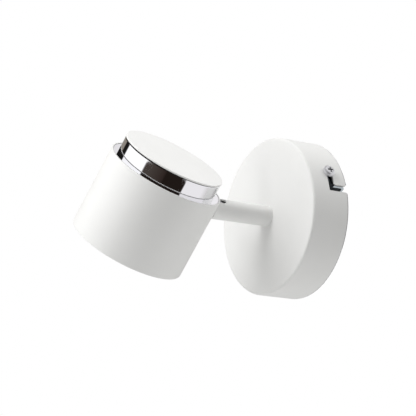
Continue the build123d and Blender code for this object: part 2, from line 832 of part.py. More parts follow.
def make_lamp_lens():
    """Clear plate with a tapered collimator behind it for each LED."""
    diameter = lamp_diameter - 2 * lamp_wall - 2 * lens_gap
    lens = rod(diameter, lamp_front + lamp_front_lip, lens_back)
    cone = Cone(collimator_diameter / 2, collimator_tip_diameter / 2, collimator_height)
    for x, y in collimator_places():
        lens += Pos(x, y, lens_back + collimator_height / 2) * cone
    return lens


def make_led_board():
    """Round board across the lamp's housing."""
    diameter = lamp_diameter - 2 * lamp_wall - 2 * lens_gap
    return rod(diameter, board_front, board_front + board_thickness)


def make_led_chips():
    """One LED under each collimator."""
    half = chip_size / 2
    chip = block((-half, half), (-half, half), (board_front - chip_height, board_front))
    return Compound([Pos(x, y, 0) * chip for x, y in collimator_places()])


def make_head_leads():
    """Leads from inside the knuckle, through its stud and the bridge, to the lampholder."""
    start_x = pivot_to_axis + stud_bore / 2
    end_x = holder_width / 2 - lead_entry_depth + face_clearance
    leads = []
    for side in (-1, 1):
        y = side * lead_pitch / 2
        points = [(start_x, y, 0), (lead_hole_offset, y, 0),
                  (lead_hole_offset, y, lead_entry_height()), (end_x, y, lead_entry_height())]
        leads.append(lead(points, lead_bend_radius))
    return Compound(leads)


# ---------------------------------------------------------------- nodes

mount_nodes = {
    "wall_bracket": make_wall_bracket,
    "canopy": make_canopy,
    "canopy_screws": make_canopy_screws,
    "stop_pin": make_stop_pin,
    "terminal_block": make_terminal_block,
    "terminal_inserts": make_terminal_inserts,
    "terminal_screws": make_terminal_screws,
    "block_screw": make_block_screw,
    "earth_screw": make_earth_screw,
    "earth_washer": make_earth_washer,
    "canopy_leads": make_canopy_leads,
}
arm_nodes = {
    "arm_tube": make_arm_tube,
    "hollow_nipple": make_hollow_nipple,
    "nipple_bush": make_nipple_bush,
    "stop_washer": make_stop_washer,
    "spring_washer": make_spring_washer,
    "swivel_nut": make_swivel_nut,
    "pivot_half_upper": make_pivot_half_upper,
    "pivot_half_lower": lambda: make_pivot_half(-1),
    "friction_washers": make_friction_washers,
    "arm_leads": make_arm_leads,
}
head_nodes = {
    "knuckle": make_knuckle,
    "saddle_spacer": make_saddle_spacer,
    "knuckle_lock_washer": make_knuckle_lock_washer,
    "knuckle_nut": make_knuckle_nut,
    "head_shell": make_head_shell,
    "chrome_ring": make_chrome_ring,
    "rear_cap": make_rear_cap,
    "cap_nuts": make_cap_nuts,
    "holder_bracket": make_holder_bracket,
    "lampholder": make_lampholder,
    "holder_contacts": make_holder_contacts,
    "holder_screws": make_holder_screws,
    "lamp_body": make_lamp_body,
    "lamp_pins": make_lamp_pins,
    "lamp_lens": make_lamp_lens,
    "led_board": make_led_board,
    "led_chips": make_led_chips,
    "head_leads": make_head_leads,
}

os.makedirs("parts", exist_ok=True)
for frame, nodes in ((bracket_frame, mount_nodes), (arm_frame, arm_nodes), (head_frame, head_nodes)):
    for name, make in nodes.items():
        export_step(frame.location * make(), f"parts/{name}.step")
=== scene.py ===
"""Pivoting spotlight wall light: finishes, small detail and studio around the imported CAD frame."""
import bmesh
import bpy
import json
from math import cos, hypot, pi, radians, sin, tan
from mathutils import Matrix, Vector


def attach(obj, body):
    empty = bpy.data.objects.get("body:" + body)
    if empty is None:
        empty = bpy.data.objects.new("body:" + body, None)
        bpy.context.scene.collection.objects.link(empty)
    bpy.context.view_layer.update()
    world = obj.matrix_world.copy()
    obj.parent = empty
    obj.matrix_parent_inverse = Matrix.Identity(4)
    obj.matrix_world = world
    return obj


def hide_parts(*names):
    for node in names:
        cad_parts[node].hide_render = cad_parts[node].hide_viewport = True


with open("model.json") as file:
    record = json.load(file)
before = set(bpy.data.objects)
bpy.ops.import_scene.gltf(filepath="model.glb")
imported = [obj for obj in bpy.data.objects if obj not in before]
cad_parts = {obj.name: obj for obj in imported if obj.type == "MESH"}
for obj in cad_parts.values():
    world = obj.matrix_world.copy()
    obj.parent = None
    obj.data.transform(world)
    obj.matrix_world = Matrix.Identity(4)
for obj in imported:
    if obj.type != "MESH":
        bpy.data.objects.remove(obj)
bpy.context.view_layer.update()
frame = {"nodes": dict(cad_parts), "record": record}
MM = 0.001

# ---------------------------------------------------------------- the part's own directions and places

STRAP_ANGLE = radians(25.5)
TILT_ANGLE = radians(51.7)
REST_TILT = radians(8.9)
CANOPY_DEPTH = 27 * MM
PIVOT_DISTANCE = 35.9 * MM
PIVOT_TO_AXIS = 48.1 * MM
CANOPY_RADIUS = 50
CANOPY_INNER_RADIUS = 49.0 * MM
CANOPY_FACE_INSIDE = 25.9 * MM
CANOPY_LIP_END = 1.1 * MM

OUTWARD = Vector((0, -1, 0))


def wall_direction(angle):
    """Direction in the wall's plane, from +X towards +Z."""
    return Vector((cos(angle), 0, sin(angle)))


def local_frame(origin, x_axis, z_axis):
    """Matrix of a right-handed frame from its origin, x and z."""
    y_axis = z_axis.cross(x_axis)
    columns = Matrix((x_axis, y_axis, z_axis)).transposed().to_4x4()
    return Matrix.Translation(origin) @ columns


SLOT_DIRECTION = wall_direction(TILT_ANGLE)
STUD_DIRECTION = OUTWARD * cos(REST_TILT) + SLOT_DIRECTION * sin(REST_TILT)
HEAD_DIRECTION = SLOT_DIRECTION * cos(REST_TILT) - OUTWARD * sin(REST_TILT)
PIVOT = OUTWARD * (CANOPY_DEPTH + PIVOT_DISTANCE)
BRACKET = local_frame(Vector((0, 0, 0)), wall_direction(STRAP_ANGLE), OUTWARD)
ARM = local_frame(OUTWARD * CANOPY_DEPTH, SLOT_DIRECTION, OUTWARD)
HEAD = local_frame(PIVOT + STUD_DIRECTION * PIVOT_TO_AXIS, -STUD_DIRECTION, HEAD_DIRECTION)


# ---------------------------------------------------------------- node materials

class Finish:
    """A material with its Principled shader and short ways to add nodes."""

    def __init__(self, name, colour, roughness, metallic=0.0):
        self.material = bpy.data.materials.new(name)
        self.material.use_nodes = True
        self.tree = self.material.node_tree
        self.shader = self.tree.nodes["Principled BSDF"]
        self.set(self.shader, "Base Color", (*colour, 1))
        self.set(self.shader, "Roughness", roughness)
        self.set(self.shader, "Metallic", metallic)
        self.place = self.node("ShaderNodeTexCoord").outputs["Object"]
        self.last_normal = None

    def node(self, kind, **settings):
        made = self.tree.nodes.new(kind)
        for name, value in settings.items():
            setattr(made, name, value)
        return made

    def set(self, node, socket, value):
        node.inputs[socket].default_value = value

    def link(self, source, node, socket):
        self.tree.links.new(source, node.inputs[socket])

    def noise(self, scale, detail=2.0, rough=0.5, stretch=None, place=None):
        """Noise over the object's own coordinates, in cells per metre."""
        texture = self.node("ShaderNodeTexNoise")
        self.set(texture, "Scale", scale)
        self.set(texture, "Detail", detail)
        self.set(texture, "Roughness", rough)
        source = place or self.place
        if stretch:
            mapping = self.node("ShaderNodeMapping")
            self.set(mapping, "Scale", stretch)
            self.link(source, mapping, "Vector")
            source = mapping.outputs["Vector"]
        self.link(source, texture, "Vector")
        return texture.outputs["Fac"]

    def spread(self, value, low, high, from_low=0.3, from_high=0.7):
        """Maps a value's middle range to low..high."""
        ranged = self.node("ShaderNodeMapRange")
        self.link(value, ranged, "Value")
        limits = {"From Min": from_low, "From Max": from_high, "To Min": low, "To Max": high}
        for socket, number in limits.items():
            self.set(ranged, socket, number)
        return ranged.outputs["Result"]

    def along(self, axis, output="Object"):
        """Length of the object's own coordinates, or of its own normal, along a direction."""
        made = self.node("ShaderNodeVectorMath", operation="DOT_PRODUCT")
        self.link(self.node("ShaderNodeTexCoord").outputs[output], made, 0)
        self.set(made, 1, tuple(axis))
        return made.outputs["Value"]

    def math(self, operation, first, second=0.0):
        """Result of a math node on two values, each a number or a socket."""
        made = self.node("ShaderNodeMath", operation=operation)
        for index, value in enumerate((first, second)):
            if isinstance(value, (int, float)):
                made.inputs[index].default_value = value
            else:
                self.tree.links.new(value, made.inputs[index])
        return made.outputs[0]

    def blend(self, factor, first, second):
        """Colour between two colours."""
        mix = self.node("ShaderNodeMix", data_type="RGBA")
        self.link(factor, mix, 0)
        for index, value in ((6, first), (7, second)):
            if isinstance(value, tuple):
                mix.inputs[index].default_value = (*value, 1)
            else:
                self.tree.links.new(value, mix.inputs[index])
        return mix.outputs[2]

    def colour(self, source):
        self.link(source, self.shader, "Base Color")

    def roughness(self, source):
        self.link(source, self.shader, "Roughness")

    def bump(self, height, distance, strength=1.0):
        """Adds relief of the given depth in metres."""
        made = self.node("ShaderNodeBump")
        self.set(made, "Strength", strength)
        self.set(made, "Distance", distance)
        self.link(height, made, "Height")
        if self.last_normal is not None:
            self.link(self.last_normal, made, "Normal")
        self.last_normal = made.outputs["Normal"]
        self.link(self.last_normal, self.shader, "Normal")


def white_coat(name="white_coat", painted_shade=None):
    """Satin powder coat: orange peel, a fine grain and faint handling marks in the gloss. An optional
    weight function gives 1 where a near-black painted shade takes the coat's place."""
    f = Finish(name, (0.83, 0.83, 0.82), 0.42)
    clouds = f.spread(f.noise(55, 3.0), 0.0, 1.0)
    coat = f.blend(clouds, (0.822, 0.822, 0.812), (0.838, 0.838, 0.829))
    if painted_shade:
        # Painted shade: near-black tones that replace the coat where the weight is 1
        mottle = f.spread(f.noise(300, 4.0), 0.0, 1.0)
        painted_shade_tone = f.blend(mottle, (0.03, 0.032, 0.035), (0.045, 0.047, 0.05))
        coat = f.blend(painted_shade(f), coat, painted_shade_tone)
    f.colour(coat)
    grain = f.spread(f.noise(2600, 2.0), -0.03, 0.03)
    wipes = f.spread(f.noise(40, 4.0, 0.6, (1, 1, 3)), 0.38, 0.47)
    f.roughness(f.math("ADD", grain, wipes))
    f.bump(f.noise(950, 1.5), 0.010 * MM)
    f.bump(f.noise(4200, 1.0), 0.0016 * MM)
    return f


def chrome_plate():
    """Bright chrome over polished steel: faint polishing lines and a slow waviness."""
    f = Finish("chrome_plate", (0.86, 0.86, 0.88), 0.035, 1.0)
    f.roughness(f.spread(f.noise(90, 3.0), 0.008, 0.02))
    f.bump(f.noise(60, 1.0), 0.0018 * MM)
    f.bump(f.noise(900, 2.0, 0.5, (1, 1, 14)), 0.0001 * MM)
    return f


def rolled_metal(name, low, high, roughness, tint_scale=120, metallic=1.0):
    """Plated sheet or turned steel with rolling lines, a cloudy passivated tint and painted shade that
    darkens its recesses.
    """
    f = Finish(name, low, roughness, metallic)
    recess = f.node("ShaderNodeAttribute", attribute_name="recess").outputs["Fac"]
    tint = f.blend(f.spread(f.noise(tint_scale, 3.0), 0.0, 1.0), low, high)
    # Painted shade: faces in a recess darken towards near black at its floor
    f.colour(f.blend(recess, tint, (0.03, 0.03, 0.035)))
    lines = f.noise(700, 4.0, 0.6, (1, 1, 12))
    f.roughness(f.spread(lines, roughness * 0.8, roughness * 1.35))
    f.bump(lines, 0.0012 * MM)
    f.bump(f.noise(2200, 2.0), 0.0008 * MM)
    return f


def plastic(name, low, high, roughness, grain=1800, relief=0.003, glow=0.0):
    """Moulded plastic with a fine spark-eroded texture."""
    f = Finish(name, low, roughness)
    f.colour(f.blend(f.spread(f.noise(90, 3.0), 0.0, 1.0), low, high))
    f.roughness(f.spread(f.noise(300, 3.0), roughness * 0.85, roughness * 1.2))
    f.bump(f.noise(grain, 2.0), relief * MM)
    if glow:
        f.set(f.shader, "Subsurface Weight", glow)
        f.set(f.shader, "Subsurface Radius", (1.2 * MM, 1.0 * MM, 0.8 * MM))
        f.set(f.shader, "Subsurface Scale", 1.0)
    return f


def lead_sleeve():
    """Insulated leads: one brown and one blue, told apart by the side of the hinge plane."""
    f = Finish("lead_sleeve", (0.13, 0.06, 0.03), 0.3)
    which = f.math("GREATER_THAN", f.along(ARM.col[1].xyz), 0.0)
    f.colour(f.blend(which, (0.13, 0.055, 0.03), (0.02, 0.07, 0.32)))
    f.roughness(f.spread(f.noise(500, 2.0), 0.24, 0.36))
    f.bump(f.noise(1500, 2.0), 0.002 * MM)
    return f


def ceramic_body():
    """Unglazed steatite with pinholes and small grey specks."""
    f = Finish("ceramic_body", (0.78, 0.75, 0.69), 0.55)
    specks = f.spread(f.noise(2400, 1.0), 0.0, 1.0, 0.68, 0.74)
    base = f.blend(f.spread(f.noise(70, 3.0), 0.0, 1.0), (0.76, 0.73, 0.67), (0.8, 0.775, 0.715))
    f.colour(f.blend(specks, base, (0.5, 0.47, 0.42)))
    f.roughness(f.spread(f.noise(600, 3.0), 0.48, 0.64))
    f.bump(f.noise(1600, 3.0), 0.008 * MM)
    return f


def lamp_optic():
    """Clear moulded lens plate with flow marks."""
    f = Finish("lamp_optic", (0.96, 0.975, 0.985), 0.03)
    f.set(f.shader, "Transmission Weight", 0.92)
    f.set(f.shader, "IOR", 1.49)
    f.roughness(f.spread(f.noise(160, 2.0), 0.02, 0.06))
    f.bump(f.noise(220, 2.0), 0.002 * MM)
    return f


def board_white():
    """White solder mask over copper, with the copper's pattern faintly raised."""
    f = Finish("board_white", (0.84, 0.84, 0.81), 0.35)
    f.colour(f.blend(f.spread(f.noise(130, 2.0), 0.0, 1.0), (0.82, 0.82, 0.79), (0.86, 0.86, 0.83)))
    f.roughness(f.spread(f.noise(400, 2.0), 0.3, 0.42))
    f.bump(f.spread(f.noise(160, 0.0), 0.0, 1.0, 0.48, 0.52), 0.02 * MM)
    return f


def led_phosphor():
    """Yellow phosphor gel in a white frame."""
    f = Finish("led_phosphor", (0.86, 0.66, 0.16), 0.4)
    f.colour(f.blend(f.spread(f.noise(1500, 2.0), 0.0, 1.0), (0.82, 0.62, 0.14), (0.9, 0.7, 0.2)))
    f.bump(f.noise(2500, 2.0), 0.006 * MM)
    return f


def canopy_painted_shade(f):
    """Weight of painted shade: the cup's inner faces, for the shade that the wall closes in, and the lip at
    the wall, for the shadow gap there.
    """
    across, up, depth = f.along((1, 0, 0)), f.along((0, 0, 1)), f.along(OUTWARD)
    squares = f.math("ADD", f.math("MULTIPLY", across, across), f.math("MULTIPLY", up, up))
    inner = f.math("LESS_THAN", f.math("SQRT", squares), CANOPY_INNER_RADIUS)
    behind = f.math("LESS_THAN", depth, CANOPY_FACE_INSIDE)
    lip = f.math("LESS_THAN", depth, CANOPY_LIP_END)
    return f.math("MAXIMUM", f.math("MULTIPLY", inner, behind), lip)


def cap_painted_shade(f):
    """Weight of the faces that look down at the chrome ring, painted near black as the shade under the cap's
    overhang.
    """
    return f.math("LESS_THAN", f.along(HEAD_DIRECTION, "Normal"), -0.3)


FINISHES = {
    "white_coat": white_coat(),
    # The canopy's coat carries near-black painted shade inside the cup and a painted shadow along its lip at
    # the wall
    "canopy_coat_painted_shade": white_coat("canopy_coat_painted_shade", canopy_painted_shade),
    # The cap's coat carries near-black painted shade on its faces that look down at the ring
    "cap_coat_painted_shade": white_coat("cap_coat_painted_shade", cap_painted_shade),
    "chrome_plate": chrome_plate(),
    "zinc_steel": rolled_metal("zinc_steel", (0.68, 0.75, 0.8), (0.74, 0.79, 0.81), 0.1),
    "nickel_screw": rolled_metal("nickel_screw", (0.74, 0.74, 0.77), (0.8, 0.8, 0.82), 0.3, 300, 0.5),
    "brass": rolled_metal("brass", (0.72, 0.52, 0.22), (0.78, 0.6, 0.3), 0.25, 200),
    "block_plastic": plastic("block_plastic", (0.74, 0.74, 0.68), (0.8, 0.8, 0.75), 0.38, glow=0.25),
    "black_nylon": plastic("black_nylon", (0.018, 0.018, 0.019), (0.03, 0.03, 0.031), 0.42),
    "lead_sleeve": lead_sleeve(),
    "ceramic_body": ceramic_body(),
    "lamp_housing": plastic("lamp_housing", (0.8, 0.8, 0.785), (0.84, 0.84, 0.825), 0.34, 1200, 0.006),
    "lamp_optic": lamp_optic(),
    "board_white": board_white(),
    "led_phosphor": led_phosphor(),
}
NODE_FINISHES = {"canopy": "canopy_coat_painted_shade", "rear_cap": "cap_coat_painted_shade"}
NODE_SLOTS = {row["node"]: row["material_slot"] for row in frame["record"]["subparts"]}

for node_name, node_object in frame["nodes"].items():
    finish_name = NODE_FINISHES.get(node_name, NODE_SLOTS[node_name])
    for material_slot in node_object.material_slots:
        material_slot.link = "OBJECT"
        material_slot.material = FINISHES[finish_name].material


# ---------------------------------------------------------------- mesh code for the small pieces

def ringed(profile, segments, closed=True):
    """Mesh of rings round z. Each row of the profile is (radius, z), or a function of the angle that
    gives them. A closed profile joins its last row to its first, and an open one gets end faces."""
    mesh = bmesh.new()
    rings = []
    for row in profile:
        ring = []
        for index in range(segments):
            angle = 2 * pi * index / segments
            radius, height = row(angle) if callable(row) else row
            ring.append(mesh.verts.new((radius * cos(angle), radius * sin(angle), height)))
        rings.append(ring)
    pairs = list(zip(rings, rings[1:]))
    if closed:
        pairs.append((rings[-1], rings[0]))
    for first, second in pairs:
        for index in range(segments):
            after = (index + 1) % segments
            mesh.faces.new((first[index], first[after], second[after], second[index]))
    if not closed:
        mesh.faces.new(rings[0])
        mesh.faces.new(list(reversed(rings[-1])))
    bmesh.ops.recalc_face_normals(mesh, faces=mesh.faces)
    return mesh


def as_object(name, mesh, place):
    """Blender object of a bmesh, moved into the frame by the given matrix."""
    data = bpy.data.meshes.new(name)
    bmesh.ops.transform(mesh, matrix=place, verts=mesh.verts)
    mesh.to_mesh(data)
    mesh.free()
    made = bpy.data.objects.new(name, data)
    bpy.context.scene.collection.objects.link(made)
    return made


def cut(target, cutter):
    """Takes the cutter out of the target and deletes it."""
    modifier = target.modifiers.new("cut", "BOOLEAN")
    modifier.operation = "DIFFERENCE"
    modifier.solver = "EXACT"
    modifier.object = cutter
    evaluated = target.evaluated_get(bpy.context.evaluated_depsgraph_get())
    data = bpy.data.meshes.new_from_object(evaluated)
    target.modifiers.clear()
    old = target.data
    target.data = data
    bpy.data.meshes.remove(old)
    bpy.data.objects.remove(cutter)


def dress(piece, slot, body, *nodes):
    """Finish, shading, body and replaced nodes of a new piece."""
    piece.data.materials.clear()
    piece.data.materials.append(FINISHES[slot].material)
    piece.data.shade_smooth()
    piece.data.set_sharp_from_angle(angle=radians(32))
    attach(piece, body)
    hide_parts(*nodes)
    return piece


def thread_row(radius, pitch, depth, height):
    """One ring of a right-handed thread: the ring's radius follows the helix."""
    def row(angle):
        turn = (height / pitch - angle / (2 * pi)) % 1.0
        return radius - depth * abs(2 * turn - 1), height
    return row


def thread_rows(radius, pitch, low, high, steps=6):
    """Rings of a thread from low to high, six to a pitch."""
    count = max(2, round((high - low) / pitch * steps))
    depth = 0.61 * pitch
    return [thread_row(radius, pitch, depth, low + (high - low) * i / count) for i in range(count + 1)]


def bar_cutter(name, turn, reach, width, depth, top, place):
    """Tapered bar of a cross recess, standing with its top just above the given height."""
    mesh = bmesh.new()
    lift = 0.2 * MM
    corners = []
    for height, grow in ((top + lift, 1.08), (top - depth, 0.42)):
        half = reach * grow
        thin = width / 2 * (0.75 + 0.25 * grow)
        for x, y in ((-half, -thin), (half, -thin), (half, thin), (-half, thin)):
            x, y = x * cos(turn) - y * sin(turn), x * sin(turn) + y * cos(turn)
            corners.append(mesh.verts.new((x, y, height)))
    for face in ((0, 1, 2, 3), (7, 6, 5, 4), (0, 4, 5, 1), (1, 5, 6, 2), (2, 6, 7, 3), (3, 7, 4, 0)):
        mesh.faces.new([corners[i] for i in face])
    bmesh.ops.recalc_face_normals(mesh, faces=mesh.faces)
    return as_object(name, mesh, place)


def pan_head_rows(radius, height):
    """Rounded edge and slightly domed top of a pan head that stands on z = 0, from the rim inwards."""
    rows = [(radius * 0.97, 0.0), (radius, 0.06 * height)]
    corner = 0.6 * height
    for step in range(0, 9):
        angle = radians(90 * step / 8)
        rows.append((radius - corner * (1 - cos(angle)), height * 0.94 - corner * (1 - sin(angle))))
    for share in (0.75, 0.5, 0.25, 0.06):
        rows.append(((radius - corner) * share, height * (0.94 + 0.06 * (1 - share ** 2))))
    return rows


def paint_recess_shade(screw, place, reach, top):
    """Weight that rises from the top of a recess to its floor, for the finish to darken as painted shade."""
    weight = screw.data.attributes.new("recess", "FLOAT", "POINT")
    back = place.inverted()
    for vertex in screw.data.vertices:
        x, y, z = back @ vertex.co
        inside = hypot(x, y) < reach * 1.15 and 0 < z < top
        weight.data[vertex.index].value = min(1.0, (top - z) / (0.3 * top)) if inside else 0.0


def cross_screw(name, place, size, body, *nodes):
    """Pan-head screw with a cross recess in its head and a thread on its shank."""
    head_radius, head_height, shank_radius, length, pitch = (value * MM for value in size)
    reach, width, depth = head_radius * 0.56, head_radius * 0.3, head_height * 0.72
    shank = thread_rows(shank_radius, pitch, -length + 0.5 * MM, -0.4 * MM)
    rows = [(shank_radius * 0.25, -length), (shank_radius * 0.72, -length)]
    rows += shank + [(shank_radius, -0.2 * MM), (shank_radius, 0.0)]
    rows += pan_head_rows(head_radius, head_height)
    screw = as_object(name, ringed(rows, 64, closed=False), place)
    for turn in (0, pi / 2):
        cut(screw, bar_cutter(name + "_cut", turn, reach, width, depth, head_height, place))
    paint_recess_shade(screw, place, reach, head_height)
    return dress(screw, "nickel_screw", body, *nodes)


def hex_row(width, height, chamfer, sign):
    """Ring of a hexagon's corners, cut back by a 30 degree cone towards its end face."""
    def row(angle):
        sector = (angle + pi / 6) % (pi / 3) - pi / 6
        radius = width / 2 / cos(sector)
        return radius, height - sign * max(0.0, radius - chamfer) * tan(radians(30))
    return row


def chamfered_nut(name, place, size, body, *nodes):
    """Hexagon nut with both faces chamfered and a threaded bore."""
    width, thickness, bore, pitch = (value * MM for value in size)
    flat = width / 2 * 0.97
    mouth = bore / 2 + 0.25 * pitch
    rows = [(mouth, 0.0), (flat, 0.0), hex_row(width, 0.0, flat, -1), hex_row(width, thickness, flat, 1),
            (flat, thickness), (mouth, thickness)]
    inner = thread_rows(bore / 2 + 0.1 * pitch, pitch, 0.3 * pitch, thickness - 0.3 * pitch, 5)
    rows += list(reversed(inner))
    return dress(as_object(name, ringed(rows, 72), place), "zinc_steel", body, *nodes)


# ---------------------------------------------------------------- small pieces that replace plain CAD nodes

ALONG_X = Matrix.Rotation(radians(90), 4, "Y")
UPSIDE_DOWN = Matrix.Rotation(radians(180), 4, "X")

# Sizes in millimetres. Screws: head radius, head height, shank radius, length, pitch
SIDE_SCREW = (3.9, 2.8, 2.0, 8, 0.7)
EARTH_SCREW = (3.8, 2.4, 2.0, 2.3, 0.7)
BLOCK_SCREW = (2.0, 1.6, 1.25, 4.5, 0.45)
HOLDER_SCREW = (2.75, 2.0, 1.5, 7.8, 0.5)
# Nuts: width across flats, thickness, bore, pitch
SWIVEL_NUT = (14, 3, 10, 1.0)
KNUCKLE_NUT = (10, 3, 6, 1.0)
CAP_NUT = (5.5, 2.4, 3, 0.5)


def at(x, y, z):
    """Translation given in millimetres."""
    return Matrix.Translation((x * MM, y * MM, z * MM))


def make_screws():
    """Side screws, earth screw, block screw and the lampholder's screws."""
    for name, turn in (("canopy_screw_right", 0), ("canopy_screw_left", 180)):
        place = BRACKET @ Matrix.Rotation(radians(turn), 4, "Z") @ at(CANOPY_RADIUS, 0, 12) @ ALONG_X
        cross_screw(name, place, SIDE_SCREW, "mount", "canopy_screws")
    cross_screw("earth_screw_detail", BRACKET @ at(14.5, 0, 2.3), EARTH_SCREW, "mount", "earth_screw")
    cross_screw("block_screw_detail", BRACKET @ at(0, 21, 4.5), BLOCK_SCREW, "mount", "block_screw")
    for name, side in (("holder_screw_upper", 1), ("holder_screw_lower", -1)):
        place = HEAD @ at(0, side * 17, 8.2) @ UPSIDE_DOWN
        cross_screw(name, place, HOLDER_SCREW, "head", "holder_screws")


def make_clamp_screws():
    """Slotted grub screws in the terminal block's towers."""
    places = [(x, y) for x in (-5.5, 5.5) for y in (16.8, 25.2)]
    for index, (x, y) in enumerate(places, 1):
        name = f"clamp_screw_{index}"
        place = BRACKET @ at(x, y, 5.7)
        rows = [(0.9 * MM, 0.0)] + thread_rows(1.4 * MM, 0.5 * MM, 0.25 * MM, 3.9 * MM)
        rows += [(1.2 * MM, 4.2 * MM), (0.4 * MM, 4.2 * MM)]
        screw = as_object(name, ringed(rows, 40, closed=False), place)
        slot_cutter = bmesh.new()
        size = Matrix.Diagonal((3.2 * MM, 0.6 * MM, 1.6 * MM, 1))
        bmesh.ops.create_cube(slot_cutter, size=1.0, matrix=at(0, 0, 4.2) @ size)
        cut(screw, as_object(name + "_cut", slot_cutter, place))
        dress(screw, "nickel_screw", "mount", "terminal_screws")


def make_nuts():
    """Swivel nut, knuckle nut and the cap's two nuts."""
    chamfered_nut("swivel_nut_detail", ARM @ at(0, 0, -6), SWIVEL_NUT, "arm", "swivel_nut")
    chamfered_nut("knuckle_nut_detail", HEAD @ at(28.7, 0, 0) @ ALONG_X, KNUCKLE_NUT, "head", "knuckle_nut")
    for name, side in (("cap_nut_near", 1), ("cap_nut_far", -1)):
        chamfered_nut(name, HEAD @ at(side * 25.5, 0, 5.8), CAP_NUT, "head", "cap_nuts")


def make_nipple():
    """Hollow nipple with its fine thread."""
    rows = [(3.75 * MM, 9.5 * MM), (3.75 * MM, -8.5 * MM), (4.3 * MM, -8.5 * MM)]
    rows += thread_rows(5.0 * MM, 1.0 * MM, -8.1 * MM, 9.1 * MM)
    rows += [(4.3 * MM, 9.5 * MM)]
    nipple = as_object("hollow_nipple_detail", ringed(rows, 64), ARM)
    dress(nipple, "nickel_screw", "arm", "hollow_nipple")


def make_wave_washer():
    """Spring washer bent in three waves."""
    def wave(radius, height):
        def row(angle):
            return radius, height + 0.09 * MM * sin(3 * angle)
        return row
    low, high = -2.75 * MM, -2.35 * MM
    inner, outer = 5.05 * MM, 7.5 * MM
    rows = [wave(inner, low), wave(outer, low), wave(outer, high), wave(inner, high)]
    washer = as_object("wave_washer_detail", ringed(rows, 72), ARM)
    dress(washer, "zinc_steel", "arm", "spring_washer")


make_screws()
make_clamp_screws()
make_nuts()
make_nipple()
make_wave_washer()

# ---------------------------------------------------------------- camera

FRAME_PIXELS = 416
FOCAL_PIXELS = 1850
SENSOR_WIDTH = 36
CAMERA_PLACE = Vector((934.3, -680.2, -249.7)) * MM
CAMERA_FORWARD = Vector((-0.81757, 0.53279, 0.21841)).normalized()


def make_camera():
    """Camera at the photograph's angle, level, with the horizon upright."""
    data = bpy.data.cameras.new("camera")
    data.sensor_width = SENSOR_WIDTH
    data.lens = FOCAL_PIXELS / FRAME_PIXELS * SENSOR_WIDTH
    data.clip_start = 0.01
    data.clip_end = 100
    camera = bpy.data.objects.new("camera", data)
    camera.location = CAMERA_PLACE
    camera.rotation_mode = "QUATERNION"
    camera.rotation_quaternion = CAMERA_FORWARD.to_track_quat("-Z", "Y")
    bpy.context.scene.collection.objects.link(camera)
    bpy.context.scene.camera = camera


make_camera()

# ---------------------------------------------------------------- studio

RIGHT = CAMERA_FORWARD.cross(Vector((0, 0, 1))).normalized()
UP = RIGHT.cross(CAMERA_FORWARD)


def studio_direction(right, up, away):
    """Fixed direction in the studio, as seen from the photographer's place."""
    return (RIGHT * right + UP * up + CAMERA_FORWARD * away).normalized()


# Soft light from the studio's walls: direction seen from the photographer's place, and strength
SOFT_WALLS = [
    ((-0.84, 0.37, 0.41), 0.20),
    ((0.86, 0.39, 0.32), 0.71),
    ((0.00, 0.98, 0.22), 0.62),
    ((-0.29, -0.93, 0.24), 0.43),
    ((0.33, -0.92, 0.21), 0.51),
    ((0.82, -0.56, 0.10), 0.29),
    ((-0.49, 0.79, 0.37), 0.45),
    ((0.51, 0.80, 0.32), 0.88),
]
WALL_NARROWNESS = 6
SOFT_EVEN = 0.365
SOFT_TINT = (1.0, 1.0, 0.988)
# Soft boxes: direction seen from the photographer's place, and power in watts
SOFT_BOXES = [
    ((-0.8, 0.5, -0.3), 0.60),
    ((-0.5, 0.8, -0.3), 1.73),
    ((-0.9, 0, -0.4), 0.53),
    ((-0.3, -0.8, -0.5), 0.67),
]
BOX_SIZE = 0.3
BOX_DISTANCE = 0.6
FLOOR_DEPTH = 1.0
FLOOR_HALF_SIZE = 8.0

# What polished metal mirrors, as cards that stand round the head's axis. A stop is the angle round the
# axis in degrees, counted from the slot's side, and the card's tone from there on.
WHITE_CARD = (1.2, 1.2, 1.2)
TAN_CARD = (0.3, 0.27, 0.235)
BLACK_CARD = (0.012, 0.011, 0.01)
BROWN_CARD = (0.066, 0.054, 0.047)
UMBER_CARD = (0.034, 0.023, 0.02)
DARK_CARD = (0.016, 0.011, 0.009)
COOL_WHITE_CARD = (0.93, 0.915, 0.93)
WARM_GREY_CARD = (0.62, 0.61, 0.595)
GREY_CARD = (0.44, 0.44, 0.425)
ROUND_START = 45
CARDS_BESIDE = [
    (45, GREY_CARD), (68, GREY_CARD), (74, TAN_CARD), (98, TAN_CARD), (101, BLACK_CARD), (117.5, BLACK_CARD),
    (120, WHITE_CARD), (183.5, WHITE_CARD), (186, BROWN_CARD), (200, BROWN_CARD), (231, UMBER_CARD),
    (236, DARK_CARD), (281, DARK_CARD), (282.5, COOL_WHITE_CARD), (330, COOL_WHITE_CARD),
    (352, WARM_GREY_CARD), (380, WARM_GREY_CARD), (392, GREY_CARD), (405, GREY_CARD),
]
CARDS_ABOVE = [
    (45, COOL_WHITE_CARD), (57, COOL_WHITE_CARD), (60, BLACK_CARD), (117.5, BLACK_CARD), (120, DARK_CARD),
    (281, DARK_CARD), (283, COOL_WHITE_CARD), (380, COOL_WHITE_CARD), (395, GREY_CARD), (405, GREY_CARD),
]
CARDS_GAP = [
    (45, COOL_WHITE_CARD), (57, COOL_WHITE_CARD), (60, BLACK_CARD), (117.5, BLACK_CARD), (120, WHITE_CARD),
    (183.5, WHITE_CARD), (186, DARK_CARD), (281, DARK_CARD), (283, COOL_WHITE_CARD), (380, COOL_WHITE_CARD),
    (395, GREY_CARD), (405, GREY_CARD),
]
FLOOR_TONE = (0.55, 0.55, 0.55)
CEILING_TONE = (0.9, 0.9, 0.9)
